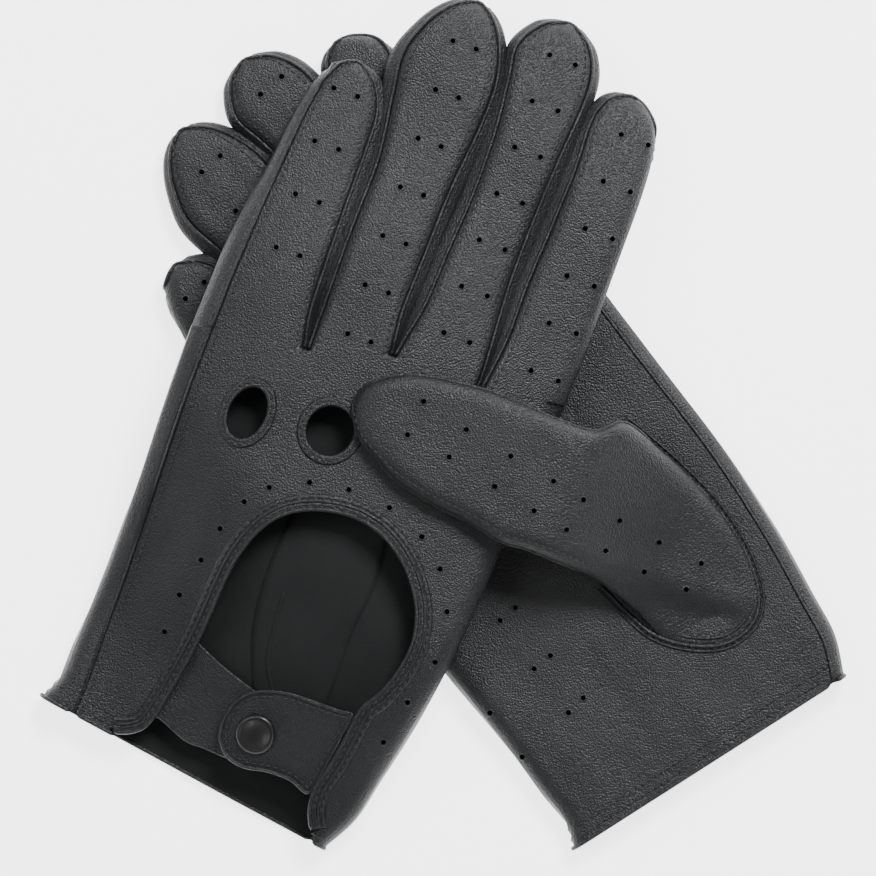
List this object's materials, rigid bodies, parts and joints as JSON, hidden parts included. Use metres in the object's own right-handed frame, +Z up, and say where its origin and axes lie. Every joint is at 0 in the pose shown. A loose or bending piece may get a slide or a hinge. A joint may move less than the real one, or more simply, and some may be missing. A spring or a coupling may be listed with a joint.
{
  "type": "leather driving gloves",
  "caption": "Pair of charcoal leather driving gloves, crossed, with knuckle holes, perforations, wrist window and snap strap.",
  "frame": {"origin": "middle of the pair's footprint, on the surface it lies on", "axes": "+Z up from the surface, +Y towards the fingertips of both gloves, +X towards the wearer side of the right glove's hem"},
  "size_m": [0.2156, 0.2282, 0.032],
  "materials": {
    "glove_leather": "soft fine-grained charcoal lambskin with a low sheen",
    "suede_facing": "matt dark suede side of the leather",
    "snap_lacquer": "glossy black lacquer",
    "snap_metal": "dark nickel",
    "thread": "fine tonal polyester sewing thread"
  },
  "bodies": {
    "right_glove": {"right_palm": "glove_leather", "right_back": "glove_leather", "right_fourchette_little_ring": "glove_leather", "right_fourchette_ring_middle": "glove_leather", "right_fourchette_middle_index": "glove_leather", "right_thumb_base": "glove_leather", "right_window_facing": "suede_facing", "right_knuckle_facing_little": "suede_facing", "right_knuckle_facing_ring": "suede_facing", "right_knuckle_facing_middle": "suede_facing", "right_knuckle_facing_index": "suede_facing", "right_strap_underlap": "glove_leather", "right_snap_stud": "snap_metal", "right_snap_post": "snap_metal"},
    "right_thumb": {"right_thumb": "glove_leather"},
    "right_strap": {"right_strap_overlap": "glove_leather", "right_snap_cap": "snap_lacquer", "right_snap_socket": "snap_metal"},
    "left_glove": {"left_palm": "glove_leather", "left_back": "glove_leather", "left_fourchette_little_ring": "glove_leather", "left_fourchette_ring_middle": "glove_leather", "left_fourchette_middle_index": "glove_leather", "left_thumb_base": "glove_leather", "left_window_facing": "suede_facing", "left_knuckle_facing_little": "suede_facing", "left_knuckle_facing_ring": "suede_facing", "left_knuckle_facing_middle": "suede_facing", "left_knuckle_facing_index": "suede_facing", "left_strap_underlap": "glove_leather", "left_snap_stud": "snap_metal", "left_snap_post": "snap_metal"},
    "left_thumb": {"left_thumb": "glove_leather"},
    "left_strap": {"left_strap_overlap": "glove_leather", "left_snap_cap": "snap_lacquer", "left_snap_socket": "snap_metal"}
  },
  "joints": [
    {"name": "left_glove_lift", "type": "slide", "parent": "right_glove", "child": "left_glove", "axis": [0, 0, 1], "range_m": [0, 0.05]},
    {"name": "right_thumb_fold", "type": "hinge", "parent": "right_glove", "child": "right_thumb", "pos_m": [0.06478, -0.02541, 0.0085], "axis": [0.2857, 0.9583, 0], "range_deg": [0, 80]},
    {"name": "left_thumb_fold", "type": "hinge", "parent": "left_glove", "child": "left_thumb", "pos_m": [-0.01601, -0.05591, 0.0155], "axis": [-0.9767, -0.2147, 0], "range_deg": [0, 21]},
    {"name": "left_strap_open", "type": "hinge", "parent": "left_glove", "child": "left_strap", "pos_m": [-0.02934, -0.08898, 0.016], "axis": [0.4706, 0.823, 0.3181], "range_deg": [0, 150]},
    {"name": "right_strap_open", "type": "hinge", "parent": "right_glove", "child": "right_strap", "pos_m": [0.08628, -0.0538, 0.00225], "axis": [0.5182, -0.8553, 0], "range_deg": [0, 85]}
  ],
  "couplings": [
    {"joint": "right_thumb_fold", "follows": "left_glove_lift", "rad_per_m": 27.9},
    {"joint": "left_thumb_fold", "follows": "left_glove_lift", "rad_per_m": 7}
  ]
}
